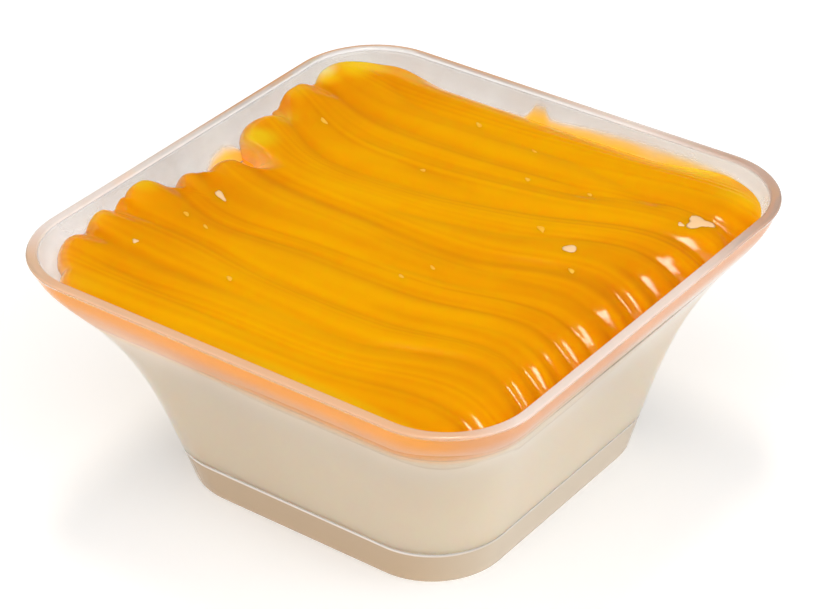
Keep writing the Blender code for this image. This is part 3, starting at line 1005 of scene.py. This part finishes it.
def cup_parts(tree, place):
    """The parts' shares from 0 to 1. Far is round the corner between -X and +Y, and near is the
    rest. Left is the half towards -X and -Y, right is round the corner between +X and +Y, and
    front is at the -Y wall."""
    x, y, z = xyz(tree, place)
    height = scaled(tree, z, 1 / HEIGHT, 0.0)
    backwards = math_node(tree, "SUBTRACT", y, x)
    sideways = math_node(tree, "ADD", y, x)
    near = between(tree, backwards, 0.060, 0.030)
    far = scaled(tree, near, -1.0, 1.0)
    left = between(tree, sideways, 0.010, -0.010)
    right = between(tree, sideways, 0.056, 0.076)
    front = between(tree, y, -0.034, -0.042)
    rim = color_ramp(tree, height, zip(RIM_FACE, (BLACK, WHITE)))
    near_rim = math_node(tree, "MULTIPLY", rim, near)
    foot = color_ramp(tree, height, zip(SHADED_FOOT_END, (WHITE, BLACK)))
    seam = color_ramp(tree, height, zip(SEAM_HIGHLIGHT, (BLACK, WHITE, WHITE, BLACK)))
    return CupParts(
        foot=foot,
        left_foot=math_node(tree, "MULTIPLY", foot, left),
        seam=math_node(tree, "MULTIPLY", seam, scaled(tree, left, 0.6, 0.4)),
        near_rim=near_rim,
        front_rim=math_node(tree, "MULTIPLY", near_rim, front),
        right_rim=math_node(tree, "MULTIPLY", near_rim, right),
        far_rim=math_node(tree, "MULTIPLY", rim, far),
        far_edge=math_node(tree, "MULTIPLY", attribute(tree, "edge"), far),
    )


def clear_plastic():
    """Thin moulded clear plastic with painted light: a pale rim, a seam highlight and a shaded hollow
    foot.
    """
    material, tree, shader, place = new_material("clear_plastic")
    parts = cup_parts(tree, place)
    tint = color_ramp(
        tree,
        noise(tree, place, 40.0),
        ((0.3, (0.925, 0.915, 0.905)), (0.7, (0.935, 0.925, 0.910))),
    )
    # Painted shade: the hollow foot beige, and browner towards -X and -Y.
    tint = mix_colors(tree, parts.foot, tint, (0.80, 0.68, 0.53))
    tint = mix_colors(tree, parts.left_foot, tint, (0.73, 0.55, 0.36))
    # Painted highlight: a pale, part-opaque line along the seam over the foot, stronger towards -X and
    # -Y.
    tint = mix_colors(tree, parts.seam, tint, (0.90, 0.84, 0.80))
    # Painted light on the rim: a pale band for light through its round edge, orange at the front for
    # the jam seen through it, darker brown round the +X and +Y corner, grey at the far corner with an
    # orange-brown outer edge.
    tint = mix_colors(tree, parts.near_rim, tint, (0.94, 0.85, 0.81))
    tint = mix_colors(tree, parts.front_rim, tint, (0.86, 0.60, 0.42))
    tint = mix_colors(tree, parts.right_rim, tint, (0.62, 0.44, 0.36))
    tint = mix_colors(tree, parts.far_rim, tint, (0.80, 0.785, 0.78))
    tint = mix_colors(tree, parts.far_edge, tint, (0.70, 0.38, 0.18))
    # The painted foot, seam and rim are also made less clear.
    clearness = scaled(tree, parts.foot, -0.55, 1.0)
    clearness = scaled(tree, parts.seam, -0.85, clearness)
    clearness = scaled(tree, parts.near_rim, -0.72, clearness)
    clearness = scaled(tree, parts.far_rim, -0.45, clearness)
    clearness = scaled(tree, parts.far_edge, -0.40, clearness)
    set_shader(
        shader,
        IOR=1.49,
        Base_Color=tint,
        Transmission_Weight=clearness,
        Roughness=scaled(tree, noise(tree, place, 90.0, 3.0), 0.12, 0.0),
        Normal=bump(tree, noise(tree, place, 70.0), 0.05, 0.0004),
    )
    clear = add_node(tree, "ShaderNodeBsdfTransparent", inputs={"Color": (0.95, 0.94, 0.92, 1.0)})
    lamp_rays = add_node(tree, "ShaderNodeLightPath").outputs["Is Shadow Ray"]
    shaders = {"Fac": lamp_rays, 1: shader.outputs["BSDF"], 2: clear.outputs["BSDF"]}
    mixed = add_node(tree, "ShaderNodeMixShader", inputs=shaders)
    feed(tree.nodes["Material Output"], "Surface", mixed.outputs["Shader"])
    return material


def cream():
    """Set milk pudding: matt, warm white and a little translucent, with a stain and painted light just
    under the jam.
    """
    material, tree, shader, place = new_material("cream")
    tone = color_ramp(
        tree,
        noise(tree, place, 40.0, 3.0),
        ((0.3, srgb(238, 222, 198)), (0.7, srgb(243, 229, 206))),
    )
    height = xyz(tree, place)["Z"]
    # Just under the jam: partly a real stain from it, partly painted light that warms and lightens the
    # cream.
    below_jam = scaled(tree, height, 1 / JAM_STAIN_AND_LIGHT, 1 - PUDDING_TOP / JAM_STAIN_AND_LIGHT)
    uneven = scaled(tree, noise(tree, place, 120.0), 0.4, -0.25)
    below_jam = math_node(tree, "ADD", below_jam, uneven)
    painted_glow_share = between(tree, height, PUDDING_TOP - JAM_GLOW_REACH, PUDDING_TOP)
    begin = PUDDING_TOP - 0.6 * JAM_GLOW_REACH
    set_shader(
        shader,
        Roughness=0.4,
        IOR=1.4,
        Base_Color=mix_colors(tree, below_jam, tone, srgb(255, 184, 60)),
        Subsurface_Weight=between(tree, height, begin, begin - JAM_GLOW_REACH),
        Subsurface_Radius=(1.0, 0.7, 0.45),
        Subsurface_Scale=0.0012,
        # Painted light: the cream glows warm up towards the jam.
        Emission_Color=color_ramp(tree, painted_glow_share, ((0.0, BLACK), (1.0, srgb(255, 206, 160)))),
        Emission_Strength=0.10,
        Normal=bump(tree, noise(tree, place, 300.0), 0.1, 0.0001),
    )
    return material


def amber_jam():
    """Mango jam: wet, translucent and amber, yellow where it lies thin, with painted shade in its
    grooves and a painted glow.
    """
    material, tree, shader, place = new_material("amber_jam")
    streaks = noise(tree, along_lanes(tree, place), 1.0, 2.0, 0.45)
    # Painted shade in the grooves and towards the ends, with the jam's own tone along its lines
    tone = attribute(tree, "painted_shade_and_tone")
    tone = math_node(tree, "ADD", tone, scaled(tree, streaks, 0.26, -0.13))
    clouds = noise(tree, place, 60.0, 3.0)
    tone = math_node(tree, "ADD", tone, scaled(tree, clouds, 0.5, -0.25))
    jam = color_ramp(
        tree,
        tone,
        (
            (0.0, srgb(246, 182, 0)),
            (0.35, srgb(240, 167, 0)),
            (0.7, srgb(231, 149, 0)),
            (1.0, srgb(218, 131, 0)),
        ),
    )
    yellow = attribute(tree, "yellow")
    jam = mix_colors(tree, yellow, jam, srgb(238, 198, 20))
    # Painted shade: a dark outline round the ropes' ends, left out where the jam is yellow.
    outline = math_node(tree, "SUBTRACT", attribute(tree, "outline"), yellow)
    jam = mix_colors(tree, outline, jam, srgb(160, 112, 4))
    jam = mix_colors(tree, attribute(tree, "thin"), jam, srgb(248, 190, 118))
    jam = mix_colors(tree, attribute(tree, "pale"), jam, srgb(240, 228, 168))
    # Painted light: the jam's sides, seen through the wall, are lighter and glow, as do the fringes,
    # the parting and the +Y edge.
    side = attribute(tree, "side")
    glow = attribute(tree, "glow")
    set_shader(
        shader,
        IOR=1.42,
        Base_Color=mix_colors(tree, side, jam, srgb(250, 174, 20)),
        Roughness=scaled(tree, noise(tree, place, 160.0), 0.08, 0.08),
        Subsurface_Weight=scaled(tree, side, -1.0, 1.0),
        Subsurface_Radius=(1.0, 0.45, 0.05),
        Subsurface_Scale=0.0022,
        Emission_Color=color_ramp(tree, glow, ((0.0, BLACK), (1.0, srgb(255, 168, 36)))),
        Emission_Strength=0.20,
        Normal=bump(tree, streaks, 0.06, 0.0003),
    )
    return material


def bubble_glint_material():
    """Air bubbles in the jam, coloured pale as painted glints: glossy and soft-edged."""
    material, tree, shader, place = new_material("bubble_glint")
    tone = color_ramp(
        tree,
        noise(tree, place, 400.0),
        ((0.3, srgb(250, 180, 34)), (0.7, srgb(252, 196, 70))),
    )
    set_shader(
        shader,
        IOR=1.4,
        # Painted glints: pale pink-white for the white ones, pale yellow for the rest
        Base_Color=mix_colors(tree, attribute(tree, "white"), tone, srgb(250, 208, 158)),
        Roughness=scaled(tree, noise(tree, place, 300.0), 0.2, 0.45),
    )
    return material


def smear_material():
    """Jam smeared thin on the wall: yellow at its foot, paler and clearer towards its top.

    A skin's back faces are clear, so that its far layer, which no light reaches, doesn't darken it.
    """
    material, tree, shader, place = new_material("jam_smear")
    tone = color_ramp(
        tree,
        attribute(tree, "rise"),
        ((0.4, srgb(252, 206, 80)), (0.65, srgb(252, 216, 136)), (1.0, srgb(250, 228, 184))),
    )
    front = attribute(tree, "front")
    tone = mix_colors(tree, front, tone, srgb(248, 166, 0))
    # Painted reflection: the front smear paler towards +X.
    tone = mix_colors(tree, attribute(tree, "right"), tone, srgb(224, 162, 110))
    uneven = scaled(tree, noise(tree, place, 160.0), 0.5, 0.75)
    cover = math_node(tree, "MULTIPLY", attribute(tree, "cover"), uneven, clamp=True)
    turned_away = add_node(tree, "ShaderNodeNewGeometry").outputs["Backfacing"]
    set_shader(
        shader,
        IOR=1.42,
        Roughness=0.2,
        Specular_IOR_Level=0.0,
        Base_Color=tone,
        # Painted light: the front smear glows.
        Emission_Color=color_ramp(tree, front, ((0.0, BLACK), (1.0, srgb(255, 160, 20)))),
        Emission_Strength=0.10,
        Alpha=math_node(tree, "MULTIPLY", cover, scaled(tree, turned_away, -1.0, 1.0)),
    )
    return material


def haze_material():
    """The film on the walls: grey-white and see-through, thicker in places."""
    material, tree, shader, place = new_material("wall_haze")
    tone = color_ramp(
        tree,
        noise(tree, place, 60.0, 3.0),
        ((0.3, srgb(186, 183, 184)), (0.5, srgb(196, 190, 184)), (0.7, srgb(205, 190, 176))),
    )
    x, y, _ = xyz(tree, place)
    tone = mix_colors(tree, between(tree, y, -0.012, -0.032), tone, srgb(236, 234, 234))
    tone = mix_colors(tree, between(tree, x, -0.010, 0.030), tone, srgb(236, 226, 212))
    set_shader(
        shader,
        Base_Color=tone,
        Alpha=scaled(tree, noise(tree, place, 90.0, 3.0), 0.22, 0.20),
        Roughness=scaled(tree, noise(tree, place, 200.0), 0.2, 0.4),
    )
    return material


def floor_material():
    """A plain pale floor that is almost evenly bright."""
    material, tree, shader, place = new_material("pale_floor")
    tone = color_ramp(
        tree, noise(tree, place, 6.0), ((0.0, (0.91, 0.93, 0.95)), (1.0, (0.94, 0.96, 0.98)))
    )
    set_shader(
        shader,
        Base_Color=tone,
        Roughness=0.7,
        Emission_Color=(*WHITE, 1.0),
        Emission_Strength=0.24,
    )
    return material


# ---- The floor, the lamps and the camera ----


def make_floor():
    corners = [(-1, -1), (1, -1), (1, 1), (-1, 1)]
    verts = [(x * FLOOR_HALF, y * FLOOR_HALF, 0.0) for x, y in corners]
    mesh = bpy.data.meshes.new("floor")
    mesh.from_pydata(verts, [], [(0, 1, 2, 3)])
    mesh.materials.append(floor_material())
    floor = bpy.data.objects.new("floor", mesh)
    bpy.context.scene.collection.objects.link(floor)


def direction(azimuth, elevation):
    """A unit vector towards a place round the cup, in radians: azimuth 0 looks from -Y."""
    level = math.cos(elevation)
    return Vector((math.sin(azimuth) * level, -math.cos(azimuth) * level, math.sin(elevation)))


def make_lamp(lamp):
    """A soft oblong lamp that looks at the cup's rim from its direction, given in degrees."""
    back = direction(math.radians(lamp.azimuth), math.radians(lamp.elevation))
    data = bpy.data.lights.new(lamp.name, "AREA")
    data.shape = "RECTANGLE"
    data.size = lamp.width
    data.size_y = lamp.height
    data.energy = lamp.power
    data.color = lamp.color
    made = bpy.data.objects.new(lamp.name, data)
    made.location = Vector((0, 0, HEIGHT)) + back * lamp.distance
    made.rotation_mode = "QUATERNION"
    made.rotation_quaternion = back.to_track_quat("Z", "Y")
    bpy.context.scene.collection.objects.link(made)


def make_world():
    world = bpy.data.worlds.new("studio")
    world.use_nodes = True
    sky = world.node_tree.nodes["Background"]
    sky.inputs["Color"].default_value = (*WHITE, 1.0)
    sky.inputs["Strength"].default_value = SKY_STRENGTH
    bpy.context.scene.world = world


def make_camera():
    back = direction(AZIMUTH, ELEVATION)
    level_right = Vector((math.cos(AZIMUTH), math.sin(AZIMUTH), 0.0))
    level_up = back.cross(level_right)
    right = level_right * math.cos(ROLL) + level_up * math.sin(ROLL)
    up = level_up * math.cos(ROLL) - level_right * math.sin(ROLL)
    data = bpy.data.cameras.new("camera")
    data.sensor_fit = "HORIZONTAL"
    data.sensor_width = SENSOR
    data.lens = FOCAL_PIXELS * SENSOR / IMAGE_WIDTH
    camera = bpy.data.objects.new("camera", data)
    place = Vector((0, 0, HEIGHT)) + back * DISTANCE
    place = place + level_right * SHIFT_RIGHT + level_up * SHIFT_UP
    turned = Matrix((right, up, back)).transposed().to_4x4()
    camera.matrix_world = Matrix.Translation(place) @ turned
    bpy.context.scene.collection.objects.link(camera)
    bpy.context.scene.camera = camera


def main():
    bpy.context.scene.view_settings.view_transform = "Standard"
    make_camera()
    make_cup(clear_plastic())
    make_pudding(cream())
    make_jam(amber_jam())
    make_bubbles(bubble_glint_material())
    make_smears(smear_material())
    make_haze(haze_material())
    make_floor()
    make_world()
    for lamp in LAMPS:
        make_lamp(lamp)


main()
